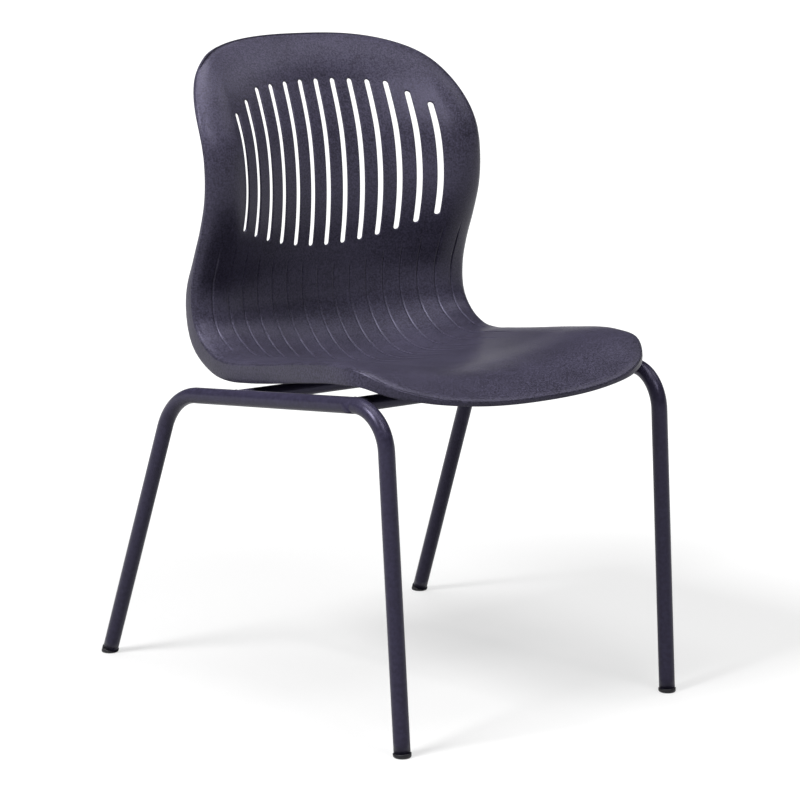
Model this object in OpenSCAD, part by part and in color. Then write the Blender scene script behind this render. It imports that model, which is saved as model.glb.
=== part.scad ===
// Choir chair: a one-piece slotted seat-and-back shell on a bent-tube frame that stands on four glides.
// Millimetres. +Z is up and the chair faces -Y. The origin is on the floor, midway between the four feet.

/* [Shell] */
// Height of the top edge of the back over the floor
overall_h = 807; // [780:1:830]
// Height of the crest of the seat, where it is highest along the middle
seat_h = 424; // [400:1:440]
// Width of the shell from rim line to rim line
shell_w = 433; // [425:1:440]
// Depth of the shell from the seat's front edge to the top edge of the back
shell_d = 495; // [480:1:510]
// Depth of the seat's hollow below its crest
seat_dip = 28; // [22:1:34]
// Depth of the side-to-side dish of the back at its deepest
dish_d = 81; // [70:1:86]
// Wall thickness of the shell
shell_t = 3; // [3:0.5:5]
// Depth of the skirt along the sides of the seat
skirt_h = 25; // [20:1:28]
// Wall thickness of the skirt
skirt_t = 3.5; // [3:0.5:5]

/* [Slots and grooves] */
// Distance between neighbouring slots, and between neighbouring grooves
slot_pitch = 25.4; // [24:0.1:26]
// Width of a slot
slot_w = 7.2; // [5:0.1:10]
// Length of the middle slot
slot_len = 219; // [180:1:230]
// Width of a groove at the surface
groove_w = 3.2; // [2:0.1:5]
// Depth of a groove
groove_d = 1.4; // [0.6:0.1:2]

/* [Frame] */
// Distance between the centres of the front and rear feet, front to back
foot_depth = 575; // [550:1:600]
// Distance between the centres of the two front feet
foot_w_front = 418; // [410:1:440]
// Distance between the centres of the two rear feet
foot_w_rear = 517; // [500:1:540]
// Outer diameter of the side tubes
tube_d = 20; // [18:0.5:22]
// Wall thickness of all tubes
tube_t = 1.5; // [1:0.1:2.5]
// Outer diameter of the cross rails
rail_d = 18; // [16:0.5:20]
// Centre-line radius of the front bends
bend_r_front = 51; // [40:1:60]
// Centre-line radius of the rear bends
bend_r_rear = 80; // [60:1:90]
// Lean of the front legs from upright
lean_front = 4.3; // [2:0.1:6]
// Rake of the rear legs from upright
rake_rear = 22; // [16:0.5:24]

/* [Hidden] */

shell_colour = "#3f3c4b";
tube_colour = "#34313e";
glide_colour = "#1d1c22";
screw_colour = "#a9a9ad";

// Clearance between a curved face and the curved face that it touches
seat_gap = 0.3;
// Overrun of every cut
cut_over = 1;
// How far a straight run of tube laps into its bend, and how much thicker the bend's wall is on each
// face, so that the lapped end lies inside it and the two are one body
lap = 0.3;
bend_step = 0.1;
// Number of steps in a full circle
round_steps = 48;

// How far the seat's front edge lies behind the centres of the front feet
lip_set = 0.5;
// From the seat's front edge back to the front cross rail, and on to the rear one
rail_set = 85;
rail_pitch = 220;
// From the middle out to the bosses, which stand on the cross rails
boss_x = 75;
boss_d = 14;
// Gap between the shell's underside and the top of each cross rail, which the bosses fill
boss_h_front = 12;
boss_h_rear = 12;
// How far a boss reaches down round the rail, and up into the shell
boss_saddle = 3;
boss_root = 1.5;
// Screws from inside the cross rails up into the bosses. A wide hole below lets their heads in.
screw_d = 4.8;
screw_head_d = 10;
screw_head_h = 3;
screw_gap = 0.1;
screw_hole_d = 5.6;
screw_access_d = 11.6;
// Length of the screw in the boss
screw_grip = 9;

// Glides: the cap's diameter, its edge rounding and the plug in the tube
glide_d = 22;
glide_edge_r = 2.5;
glide_h_front = 5;
glide_h_rear = 6.3;
plug_len = 18;
plug_gap = 0.15;
plug_chamfer = 1;
// Angles of the points that round the cap's edge
edge_angles = [0, 22, 45, 68, 90];

// Rim of the shell: how far its rounded edge stands out, and how fast the skirt spreads
rim_out = 2;
rim_round = 3;
skirt_draft = 3.5;

half_w = shell_w / 2;
back_rise = overall_h - seat_h;
foot_y_front = -foot_depth / 2;
foot_y_rear = foot_depth / 2;
lip_y = foot_y_front + lip_set;

// Section through the middle of the back, from the top edge down into the bend. Each row holds the
// place in the depth from the front edge, the height over the seat in the rise of the back, the dish
// and the roll of the edge in the depth of the dish, and the skirt in its own depth.
back_shares = [
    [1.000, 1.000, 0.00, 0.46, 0.26],
    [0.966, 0.950, 0.20, 0.46, 0.26],
    [0.940, 0.893, 0.45, 0.44, 0.24],
    [0.924, 0.833, 0.69, 0.42, 0.22],
    [0.903, 0.757, 0.83, 0.36, 0.20],
    [0.885, 0.674, 0.95, 0.38, 0.20],
    [0.874, 0.580, 1.00, 0.42, 0.25],
    [0.870, 0.478, 0.97, 0.44, 0.32],
    [0.874, 0.376, 0.83, 0.42, 0.36],
    [0.884, 0.282, 0.64, 0.34, 0.42],
    [0.889, 0.185, 0.44, 0.22, 0.65],
    [0.884, 0.099, 0.45, 0.23, 0.87],
    [0.861, 0.037, 0.45, 0.22, 1.00]];
// The same for the seat, from the bend to the front edge, with the depth below the crest in the dip.
seat_shares = [
    [0.818, 0.32, 0.47, 0.23, 1.03],
    [0.763, 0.82, 0.46, 0.21, 0.98],
    [0.696, 0.99, 0.46, 0.19, 0.98],
    [0.615, 0.86, 0.48, 0.21, 1.00],
    [0.534, 0.61, 0.45, 0.20, 1.00],
    [0.379, 0.25, 0.43, 0.15, 1.00],
    [0.217, 0.00, 0.41, 0.12, 0.92],
    [0.132, 0.09, 0.34, 0.07, 0.74],
    [0.075, 0.32, 0.25, 0.07, 0.54],
    [0.034, 0.54, 0.21, 0.07, 0.37],
    [0.010, 0.70, 0.20, 0.07, 0.27],
    [0.000, 0.80, 0.19, 0.07, 0.22]];
// Place of the centre of the bend, in the shell's depth and in the rise of the back
bend_centre_share = [0.692, 0.133];
// Angles about it between which the dish turns from facing forward to facing up
turn_from = 5;
turn_to = 85;
// Where the roll of the edge begins, in the half width
roll_from_share = 0.737;
// Corners of the outline: their length along the shell and the power of the curve
corner_back = 156;
corner_front = 133;
power_back = 2.84;
power_front = 3.1;

// Least reach of the skirt below the shell's underside
rim_lip = 1.5;
function place(p, z) = [lip_y + p[0] * shell_d, z, p[2] * dish_d, p[3] * dish_d, p[4] * skirt_h];
stations = concat(
    [for (p = back_shares) place(p, seat_h + p[1] * back_rise)],
    [for (p = seat_shares) place(p, seat_h - p[1] * seat_dip)]);
last_station = len(stations) - 1;

// Running length along the middle section at each station
function flat(p) = [p[0], p[1]];
function run_to(i) = i == 0 ? 0 : run_to(i - 1) + norm(flat(stations[i]) - flat(stations[i - 1]));
runs = [for (i = [0:last_station]) run_to(i)];
shell_len = runs[last_station];
steps = [for (i = [1:last_station]) runs[i] - runs[i - 1]];
secants = [for (i = [1:last_station]) (stations[i] - stations[i - 1]) / steps[i - 1]];
inner_slopes = [for (i = [1:last_station - 1])
    (secants[i - 1] * steps[i] + secants[i] * steps[i - 1]) / (steps[i - 1] + steps[i])];
slopes = concat([1.5 * secants[0] - 0.5 * inner_slopes[0]], inner_slopes,
    [1.5 * secants[last_station - 1] - 0.5 * inner_slopes[last_station - 2]]);

// Smooth values between the stations, by a cubic through their values and slopes
function span_of(s, i = 0) = i >= last_station - 1 || s <= runs[i + 1] ? i : span_of(s, i + 1);
function cubic(i, t, h) = (2 * t ^ 3 - 3 * t ^ 2 + 1) * stations[i]
    + (t ^ 3 - 2 * t ^ 2 + t) * h * slopes[i]
    + (3 * t ^ 2 - 2 * t ^ 3) * stations[i + 1]
    + (t ^ 3 - t ^ 2) * h * slopes[i + 1];
function station_at(s) = let (i = span_of(s)) cubic(i, (s - runs[i]) / steps[i], steps[i]);

// Direction in which the sides of the dish rise: forward on the back, up on the seat
function ease(a) = let (b = max(0, min(1, a))) b * b * (3 - 2 * b);
function turn_at(y, z) = let (
    cy = lip_y + bend_centre_share[0] * shell_d,
    cz = seat_h + bend_centre_share[1] * back_rise)
    90 * ease((atan2(cz - z, y - cy) - turn_from) / (turn_to - turn_from));

// The seating surface at x across and s along the middle section from the top edge
function shell_at(x, s) = let (
    p = station_at(s),
    v = abs(x) / half_w,
    roll = max(0, (v - roll_from_share) / (1 - roll_from_share)),
    d = p[2] * v ^ 2 - p[3] * roll ^ 2,
    a = turn_at(p[0], p[1]))
    [x, p[0] - d * cos(a), p[1] + d * sin(a)];

unit_of = function (v) v / norm(v);
// Half step for the surface's slopes, in the half width
probe_share = 0.002;
probe = probe_share * half_w;
function along_x(x, s) = unit_of(shell_at(x + probe, s) - shell_at(x - probe, s));
function along_s(x, s) = unit_of(shell_at(x, s + probe) - shell_at(x, s - probe));
function normal_at(x, s) = unit_of(cross(along_s(x, s), along_x(x, s)));

// The outline on the developed surface: s of the top edge and of the front edge at x across
function corner_s(x, len, power) = len * (1 - (1 - min(1, abs(x) / half_w) ^ power) ^ (1 / power));
function top_s(x) = corner_s(x, corner_back, power_back);
function front_s(x) = shell_len - corner_s(x, corner_front, power_front);
// A point of a corner by its angle, 0 where the shell has its full width: across, and along its length
function corner_x(a, power) = half_w * cos(a) ^ (2 / power);
function corner_fall(a, len, power) = len * (1 - sin(a) ^ (2 / power));

// The rows and columns of points that carry the surface. Rows follow the top edge, the slots' ends, the
// grooves' start and the front edge. Columns follow the slots' sides, and below them the grooves.
slot_r = slot_w / 2;
groove_r = groove_w / 2;
slots_side = 6;
// From the top edge to the top end of the middle slot, and how far the outer slots start lower
slot_top = 67.6;
slot_top_sag = 6.4;
slot_top_step = 11;
slot_bottom_sag = 33;
// The top ends sag with the square of the place out to this slot, and step down from there
sag_slot = 4;
groove_start = 20;
function slot_top_s(x) = let (i = abs(x) / slot_pitch)
    slot_top + slot_top_sag * (i / sag_slot) ^ 2 + slot_top_step * max(0, i - sag_slot);
function slot_bottom_s(x) = slot_top + slot_len - slot_bottom_sag * (x / (slots_side * slot_pitch)) ^ 2;
function groove_top_s(x) = slot_bottom_s(x) + groove_start;

// Angles of the points that round a slot's end, from its tip to its side
end_angles = [24, 60, 90];
// Place of the first straight row below the grooves' start, and the share of the rest where the front
// corners begin
straight_share = 0.416;
straight_s = straight_share * shell_len;
head_shares = [0, 0.2, 0.4, 0.6, 0.8];
body_shares = [1 / 7, 2 / 7, 3 / 7, 4 / 7, 5 / 7, 6 / 7];
neck_shares = [0.5, 1];
seat_row_shares = [0.031, 0.060, 0.089, 0.118, 0.147, 0.180, 0.217, 0.269, 0.331, 0.413, 0.506, 0.600, 0.682,
    0.755, 0.812, 0.858, 0.895, 0.928, 0.957, 0.980, 1];
corner_row = 13;
// Angle along a corner's outline at which its end row leaves the rim
corner_angle = 38;

// Every row by its zone and its share of the zone
rows = concat(
    [for (f = head_shares) ["head", f]],
    [for (a = end_angles) ["top", a]],
    [for (f = body_shares) ["body", f]],
    [for (i = [2:-1:0]) ["bottom", end_angles[i]]],
    [for (f = neck_shares) ["slide", f]],
    [for (f = neck_shares) ["neck", f]],
    [for (f = seat_row_shares) ["seat", f]]);
last_row = len(rows) - 1;
slot_row_from = len(head_shares);
slot_row_to = slot_row_from + 2 * len(end_angles) + len(body_shares) - 1;

function mix(a, b, f) = a + f * (b - a);
function row_s(row, x) = let (zone = row[0], f = row[1])
    zone == "head" ? mix(top_s(x), slot_top_s(x), f)
    : zone == "top" ? slot_top_s(x) + slot_r * (1 - cos(f))
    : zone == "body" ? mix(slot_top_s(x) + slot_r, slot_bottom_s(x) - slot_r, f)
    : zone == "bottom" ? slot_bottom_s(x) - slot_r * (1 - cos(f))
    : zone == "slide" ? mix(slot_bottom_s(x), groove_top_s(x), f)
    : zone == "neck" ? mix(groove_top_s(x), straight_s, f)
    : mix(straight_s, front_s(x), f);
// How far a row's slot columns have slid over to the grooves
function slide_of(row) = row[0] == "slide" ? row[1] : row[0] == "neck" || row[0] == "seat" ? 1 : 0;
// Half the opening between a slot's columns
function open_of(row) = row[0] == "top" || row[0] == "bottom" ? slot_r * sin(row[1]) : slot_r;

// The columns between the outermost inner grooves, as place across in a row
inner_edge = (slots_side + 0.5) * slot_pitch;
function inner_columns(row) = let (f = slide_of(row), r = open_of(row)) [
    for (h = [-slots_side - 1:slots_side]) let (g = (h + 0.5) * slot_pitch, x = (h + 1) * slot_pitch)
        each h < slots_side ? [g, mix(x - r, g + groove_r, f), mix(x + r, g + slot_pitch - groove_r, f)] : [g]];
// The outer columns, as places across below the slots, and as shares of the way out to the rim
outer_groove = inner_edge + slot_pitch;
rim_column_shares = [0.5, 0.8, 1];
outer_places = concat(
    [inner_edge + groove_r, inner_edge + slot_pitch / 2, outer_groove - groove_r, outer_groove, outer_groove + groove_r],
    [for (f = rim_column_shares) mix(outer_groove + groove_r, half_w, f)]);
outer_shares = [for (x = outer_places) (x - inner_edge) / (half_w - inner_edge)];
last_outer = len(outer_shares) - 1;

// The rim's own point of each row, on the developed outline
function rim_point(row, k) = let (zone = row[0], f = row[1], s = row_s(row, inner_edge))
    zone == "head" ? let (a = corner_angle * (1 - k / slot_row_from))
        [corner_x(a, power_back), corner_fall(a, corner_back, power_back)]
    : k <= slot_row_to ? [half_w, mix(corner_back, slot_bottom_s(inner_edge),
        (s - slot_top_s(inner_edge)) / (slot_bottom_s(inner_edge) - slot_top_s(inner_edge)))]
    : zone != "seat" ? [half_w, s]
    : f <= seat_row_shares[corner_row] ? [half_w,
        mix(straight_s, shell_len - corner_front, f / seat_row_shares[corner_row])]
    : let (n = last_row - k, a = corner_angle * (1 - n / (len(seat_row_shares) - 1 - corner_row)))
        [corner_x(a, power_front), shell_len - corner_fall(a, corner_front, power_front)];
function edge_s(k, x, s) = k == 0 ? top_s(x) : k == last_row ? front_s(x) : s;
function outer_points(k) = let (inner = [inner_edge, row_s(rows[k], inner_edge)], rim = rim_point(rows[k], k))
    [for (f = outer_shares) let (p = mix(inner, rim, f)) [p[0], edge_s(k, p[0], p[1])]];
function row_points(k) = let (outer = outer_points(k)) concat(
    [for (j = [last_outer:-1:0]) [-outer[j][0], outer[j][1]]],
    [for (x = inner_columns(rows[k])) [x, row_s(rows[k], x)]],
    outer);
grid = [for (k = [0:last_row]) row_points(k)];
last_column = len(grid[0]) - 1;
columns = last_column + 1;

// Grooves: which columns are their bottoms, and how deep they are along the shell
function is_groove(j) = let (i = (j - last_outer - 1) / 3)
    j == last_outer - 3 || j == last_column - last_outer + 3 || (i >= 0 && i <= 2 * slots_side + 1 && i == floor(i));
// Where the grooves fade out on the seat, in the shell's length: the outermost pair earlier
groove_end_share = 0.70;
outer_end_share = 0.60;
fade_len = 60;
function groove_at(j, k, s, x) = !is_groove(j) ? 0 : let (
    end = (abs(x) > outer_groove - groove_r ? outer_end_share : groove_end_share) * shell_len,
    start = groove_top_s(min(abs(x), inner_edge)))
    groove_d * max(0, min(1, (s - start) / groove_start, (end - s) / fade_len));

// Rings of points round the rim, by place out from the rim line and down from the surface
rim_loop = concat(
    [for (j = [0:last_column]) [0, j]],
    [for (k = [1:last_row]) [k, last_column]],
    [for (j = [last_column - 1:-1:0]) [last_row, j]],
    [for (k = [last_row - 1:-1:1]) [k, 0]]);
loop_len = len(rim_loop);
function rim_at(n) = let (m = rim_loop[n % loop_len]) grid[m[0]][m[1]];
// Outward direction of the outline in space, square to the way along it
function outward(n) = let (p = rim_at(n), q = rim_at(n + 1) - rim_at(n + loop_len - 1), t = q / norm(q))
    unit_of(t[1] * along_x(p[0], p[1]) - t[0] * along_s(p[0], p[1]));
function skirt_of(s) = max(station_at(s)[4], shell_t + rim_lip);
rim_steps = [45, 90];
function ring(n) = let (p = rim_at(n), o = outward(n), d = -normal_at(p[0], p[1]), e = shell_at(p[0], p[1]),
    h = skirt_of(p[1]), out = rim_out + skirt_draft * h / skirt_h) concat(
    [for (a = rim_steps) e + o * rim_out * sin(a) + d * rim_round * (1 - cos(a))],
    [e + o * out + d * h, e + o * (out - skirt_t) + d * h]);
rings = [for (n = [0:loop_len - 1]) ring(n)];
ring_count = len(rings[0]);

// Upper and lower sheets. The lower one stops inside the skirt.
upper = [for (k = [0:last_row]) for (j = [0:last_column]) let (p = grid[k][j], g = groove_at(j, k, p[1], p[0]))
    g > 0 ? shell_at(p[0], p[1]) - g * normal_at(p[0], p[1]) : shell_at(p[0], p[1])];
lower = [for (k = [0:last_row]) for (j = [0:last_column]) let (p = grid[k][j])
    shell_at(p[0], p[1]) - shell_t * normal_at(p[0], p[1])];
rim_index = [for (m = rim_loop) m[0] * columns + m[1]];
function on_rim(k, j) = k == 0 ? j : j == last_column ? last_column + k
    : k == last_row ? last_column + last_row + last_column - j : j == 0 ? loop_len - k : -1;
lower_inset = [for (k = [0:last_row]) for (j = [0:last_column]) let (n = on_rim(k, j), p = lower[k * columns + j])
    n < 0 ? p : p - (skirt_t - rim_out) * outward(n)];
sheet = len(upper);
ring_points = [for (c = [0:ring_count - 1]) for (n = [0:loop_len - 1]) rings[n][c]];
shell_points = concat(upper, lower_inset, ring_points);

// Faces: each cell is two triangles, split alike on the two sides of the middle
function cell(k, j) = let (a = k * columns + j, b = a + 1, c = a + columns + 1, d = a + columns)
    j < last_column / 2 ? [[a, b, d], [b, c, d]] : [[a, b, c], [a, c, d]];
function turned(f) = [f[0], f[2], f[1]];
function shift(f, n) = [f[0] + n, f[1] + n, f[2] + n];
function is_slot(k, j) = let (i = (j - last_outer - 2) / 3)
    k >= slot_row_from && k < slot_row_to && i >= 0 && i <= 2 * slots_side && i == floor(i);
function wall(a, b) = [[a, b, b + sheet], [a, b + sheet, a + sheet]];
function slot_walls(j) = let (top = slot_row_from * columns + j, end = slot_row_to * columns + j) concat(
    wall(top, top + 1),
    wall(end + 1, end),
    [for (k = [slot_row_from:slot_row_to - 1]) each wall((k + 1) * columns + j, k * columns + j)],
    [for (k = [slot_row_from:slot_row_to - 1]) each wall(k * columns + j + 1, (k + 1) * columns + j + 1)]);
cells = [for (k = [0:last_row - 1]) for (j = [0:last_column - 1]) if (!is_slot(k, j)) each cell(k, j)];
// Point n of band c round the rim: the upper sheet's edge, the rings, then the lower sheet's edge
function band(c, n) = let (m = n % loop_len) c < 0 ? rim_index[m] : c < ring_count ? 2 * sheet + c * loop_len + m
    : sheet + rim_index[m];
bands = [for (c = [-1:ring_count - 1]) for (n = [0:loop_len - 1])
    each [[band(c, n), band(c + 1, n), band(c + 1, n + 1)], [band(c, n), band(c + 1, n + 1), band(c, n + 1)]]];
slot_columns = [for (i = [0:2 * slots_side]) last_outer + 2 + 3 * i];
shell_faces = concat(cells, [for (f = cells) shift(turned(f), sheet)], [for (j = slot_columns) each slot_walls(j)],
    bands);

// Length along the shell at which the middle of the seat reaches y, found by halving
function s_at(y, a, b, n = 30) = n == 0 ? a : let (m = (a + b) / 2)
    station_at(m)[0] > y ? s_at(y, m, b, n - 1) : s_at(y, a, m, n - 1);
function seat_z(y) = shell_at(boss_x, s_at(y, straight_s, shell_len))[2];

// Cross rails: place along the depth, height and boss of the front one and the rear one
rail_r = rail_d / 2;
rail_y_front = lip_y + rail_set;
rail_y_rear = rail_y_front + rail_pitch;
rail_z_front = seat_z(rail_y_front) - shell_t - boss_h_front - rail_r;
rail_z_rear = seat_z(rail_y_rear) - shell_t - boss_h_rear - rail_r;

// Side frames: their plane is toed in, and in it u runs back and the second value up
tube_r = tube_d / 2;
side_x = (foot_w_front + foot_w_rear) / 4;
toe = atan((foot_w_rear - foot_w_front) / 2 / foot_depth);
rail_angle = atan((rail_z_rear - rail_z_front) / (rail_y_rear - rail_y_front) * cos(toe));
foot_front = [foot_y_front / cos(toe), 0];
foot_rear = [foot_y_rear / cos(toe), 0];
up_front = [sin(lean_front), cos(lean_front)];
up_rear = [-sin(rake_rear), cos(rake_rear)];
along_rail = [cos(rail_angle), sin(rail_angle)];
on_rail = [rail_y_front / cos(toe), rail_z_front];
// Where the line from p along d meets the rail's line
function meet_rail(p, d) = let (q = on_rail - p) p + d * cross(q, along_rail) / cross(d, along_rail);
knee_front = meet_rail(foot_front, up_front);
knee_rear = meet_rail(foot_rear, up_rear);
turn_front = 90 - lean_front - rail_angle;
turn_rear = 90 - rake_rear + rail_angle;
set_front = bend_r_front * tan(turn_front / 2);
set_rear = bend_r_rear * tan(turn_rear / 2);
end_front = foot_front + up_front * glide_h_front / cos(lean_front);
end_rear = foot_rear + up_rear * glide_h_rear / cos(rake_rear);

// Children drawn in a side frame's plane, on the side of the given sign
module in_side(side) {
    mirror([side > 0 ? 0 : 1, 0, 0]) translate([side_x, 0, 0]) rotate([0, 0, -toe]) rotate([90, 0, 90]) children();
}

// A round bar between two points of the plane
module bar(p, q, r) {
    d = q - p;
    translate([p[0], p[1], 0])
        rotate([0, 0, atan2(d[1], d[0])])
        rotate([0, 90, 0])
        rotate([0, 0, 90])
        cylinder(r = r, h = norm(d), $fn = round_steps);
}

// A round tube between two points of the plane, open at both ends
module tube(p, q) {
    d = unit_of(q - p);
    difference() {
        bar(p, q, tube_r);
        bar(p - d * cut_over, q + d * cut_over, tube_r - tube_t);
    }
}

// A bend of the same tube between two directions, through the angle between them
module tube_bend(knee, from_dir, to_dir, bend_r, turn) {
    start = knee - from_dir * bend_r * tan(turn / 2);
    centre = start + bend_r * [from_dir[1], -from_dir[0]];
    translate([centre[0], centre[1], 0])
        rotate([0, 0, atan2(to_dir[1], to_dir[0]) + 90])
        rotate_extrude(angle = turn, $fn = 2 * round_steps)
        translate([bend_r, 0])
        difference() {
            circle(r = tube_r + bend_step, $fn = round_steps);
            circle(r = tube_r - tube_t - bend_step, $fn = round_steps);
        }
}

module side_frame(side) {
    run_front = set_front - lap;
    run_rear = set_rear - lap;
    color(tube_colour) in_side(side) {
        tube(end_front, knee_front - up_front * run_front);
        tube_bend(knee_front, up_front, along_rail, bend_r_front, turn_front);
        tube(knee_front + along_rail * run_front, knee_rear - along_rail * run_rear);
        tube_bend(knee_rear, along_rail, -up_rear, bend_r_rear, turn_rear);
        tube(knee_rear - up_rear * run_rear, end_rear);
    }
}

module side_frame_left() {
    side_frame(1);
}

module side_frame_right() {
    side_frame(-1);
}

// A cross rail, coped to the side tubes and drilled through for the screws
module cross_rail(y, z) {
    reach = side_x + y * tan(toe);
    color(tube_colour) difference() {
        translate([-reach, y, z]) rotate([0, 90, 0]) cylinder(r = rail_r, h = 2 * reach, $fn = round_steps);
        translate([-reach - cut_over, y, z])
            rotate([0, 90, 0])
            cylinder(r = rail_r - tube_t, h = 2 * (reach + cut_over), $fn = round_steps);
        for (side = [-1, 1]) {
            in_side(side) bar(knee_front, knee_rear, tube_r + seat_gap);
            translate([side * boss_x, y, z]) cylinder(d = screw_hole_d, h = rail_r + cut_over, $fn = round_steps);
            translate([side * boss_x, y, z - rail_r - cut_over])
                cylinder(d = screw_access_d, h = rail_r + cut_over, $fn = round_steps);
        }
    }
}

module cross_rail_front() {
    cross_rail(rail_y_front, rail_z_front);
}

module cross_rail_rear() {
    cross_rail(rail_y_rear, rail_z_rear);
}

// The bosses over one cross rail, with a saddle that rides the rail and a blind hole for the screw
module bosses(y, z, h) {
    for (side = [-1, 1]) difference() {
        translate([side * boss_x, y, z + rail_r - boss_saddle])
            cylinder(d = boss_d, h = boss_saddle + h + boss_root, $fn = round_steps);
        translate([0, y, z]) rotate([0, 90, 0]) translate([0, 0, side * boss_x - boss_d])
            cylinder(r = rail_r + seat_gap, h = 2 * boss_d, $fn = round_steps);
        translate([side * boss_x, y, z]) cylinder(d = screw_d + 2 * screw_gap,
            h = rail_r + screw_grip + screw_gap + seat_gap, $fn = round_steps);
    }
}

module seat_shell() {
    color(shell_colour) {
        polyhedron(points = shell_points, faces = shell_faces, convexity = 8);
        bosses(rail_y_front, rail_z_front, boss_h_front);
        bosses(rail_y_rear, rail_z_rear, boss_h_rear);
    }
}

// A glide: a plug in the tube's end and a cap with a rounded edge, cut flat on the floor
module glide(side, end, up, tilt, h) {
    glide_r = glide_d / 2;
    cap = h / cos(tilt) + glide_r * tan(tilt);
    plug_r = tube_r - tube_t - plug_gap;
    edge = [for (a = edge_angles)
        [glide_r - glide_edge_r * (1 - cos(a)), cap - glide_edge_r * (1 - sin(a))]];
    color(glide_colour) difference() {
        in_side(side)
            translate([end[0], end[1], 0])
            rotate([0, 0, atan2(-up[1], -up[0])])
            rotate([0, 90, 0])
            rotate_extrude($fn = round_steps)
            polygon(concat(
                [[0, -plug_len], [plug_r - plug_chamfer, -plug_len], [plug_r, plug_chamfer - plug_len]],
                [[plug_r, 0], [glide_r, 0]],
                edge,
                [[0, cap]]));
        translate([-foot_w_rear, -foot_depth, -glide_d]) cube([2 * foot_w_rear, 2 * foot_depth, glide_d]);
    }
}

module glide_front_left() {
    glide(1, end_front, up_front, lean_front, glide_h_front);
}

module glide_front_right() {
    glide(-1, end_front, up_front, lean_front, glide_h_front);
}

module glide_rear_left() {
    glide(1, end_rear, up_rear, rake_rear, glide_h_rear);
}

module glide_rear_right() {
    glide(-1, end_rear, up_rear, rake_rear, glide_h_rear);
}

// A screw with its head inside the rail, under the upper wall, and its shank up in the boss
module shell_screw(x, y, z) {
    bore_r = rail_r - tube_t;
    top = sqrt(bore_r ^ 2 - (screw_head_d / 2) ^ 2) - seat_gap;
    translate([x, y, z + top - screw_head_h]) cylinder(d = screw_head_d, h = screw_head_h, $fn = round_steps);
    translate([x, y, z + top - screw_head_h])
        cylinder(d = screw_d, h = screw_head_h - top + rail_r + screw_grip, $fn = round_steps);
}

module shell_screws() {
    color(screw_colour) for (x = [-boss_x, boss_x]) {
        shell_screw(x, rail_y_front, rail_z_front);
        shell_screw(x, rail_y_rear, rail_z_rear);
    }
}

seat_shell();
side_frame_left();
side_frame_right();
cross_rail_front();
cross_rail_rear();
glide_front_left();
glide_front_right();
glide_rear_left();
glide_rear_right();
shell_screws();
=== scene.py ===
"""Choir chair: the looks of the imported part, its studio and its camera.

Lengths are in millimetres until a mesh is made, and in metres in Blender. +Z is up and the chair faces -Y.
The origin is on the floor, midway between the four feet.
"""

import math

import bpy
import numpy as np
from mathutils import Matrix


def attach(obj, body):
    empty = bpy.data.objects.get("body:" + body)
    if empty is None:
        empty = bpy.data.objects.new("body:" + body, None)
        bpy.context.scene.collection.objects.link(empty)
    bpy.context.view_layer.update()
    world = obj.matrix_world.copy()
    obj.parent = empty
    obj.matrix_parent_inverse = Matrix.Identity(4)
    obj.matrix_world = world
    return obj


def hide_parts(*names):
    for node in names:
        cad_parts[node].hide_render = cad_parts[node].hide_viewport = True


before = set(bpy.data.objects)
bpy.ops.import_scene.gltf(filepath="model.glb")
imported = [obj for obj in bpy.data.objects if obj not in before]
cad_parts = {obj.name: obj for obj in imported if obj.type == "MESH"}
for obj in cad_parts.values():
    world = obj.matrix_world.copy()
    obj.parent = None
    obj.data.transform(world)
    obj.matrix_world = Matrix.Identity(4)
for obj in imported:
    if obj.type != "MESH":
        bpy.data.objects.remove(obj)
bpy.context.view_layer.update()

# Sizes of the shell, as in the CAD source
OVERALL_H = 807  # height of the top edge of the back
SEAT_H = 424  # height of the crest of the seat
SHELL_W = 433
SHELL_D = 495
SEAT_DIP = 28  # depth of the seat's hollow below its crest
DISH_D = 81  # depth of the dish of the back at its deepest
SHELL_T = 3
SKIRT_H = 25
SKIRT_T = 3.5
RIM_LIP = 1.5  # least reach of the skirt below the shell's underside
RIM_OUT = 2  # how far the rounded rim stands out
RIM_ROUND = 3  # how deep it turns in the middle of the top and front edges
SKIRT_DRAFT = 3.5  # how far the skirt spreads over its depth
CORNER_BACK = 156  # length of the outline's corners along the shell
CORNER_FRONT = 133
POWER_BACK = 2.84  # power of the curve that rounds them
POWER_FRONT = 3.1
CORNER_ANGLE = 38  # angle round a corner at which its end row leaves the rim
ROLL_FROM = 0.737  # share of the half width at which the edge starts to roll
BEND_CENTRE = (0.692, 0.133)  # centre of the bend, as shares of the shell's depth and of the back's rise
TURN_FROM = 5  # angles about it between which the dish turns from facing forward to facing up
TURN_TO = 85

# Slots and grooves
SLOTS_SIDE = 6  # slots on each side of the middle one
SLOT_PITCH = 25.4
SLOT_W = 7.2
SLOT_LEN = 219
SLOT_TOP = 67.6  # from the top edge to the middle slot
SAG_SLOT = 4  # slot out to which the top ends sag, and from which they step down
SLOT_TOP_SAG = 6.4  # how much lower that slot starts than the middle one
SLOT_TOP_STEP = 11  # how much lower each further slot starts
SLOT_BOTTOM_SAG = 33  # how much higher the outermost slots end than the middle one
GROOVE_D = 1.4
GROOVE_HALF = 1.7  # half the width of a groove
GROOVE_START = 20  # from the slots down to the grooves, which fade in over the same length
GROOVE_END = 0.70  # where the grooves and the outermost pair end, as shares of the shell's length
OUTER_END = 0.60
FADE = 60  # length over which they fade out before that
STRAIGHT = 0.416  # place of the first straight row, as a share of the shell's length

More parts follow.
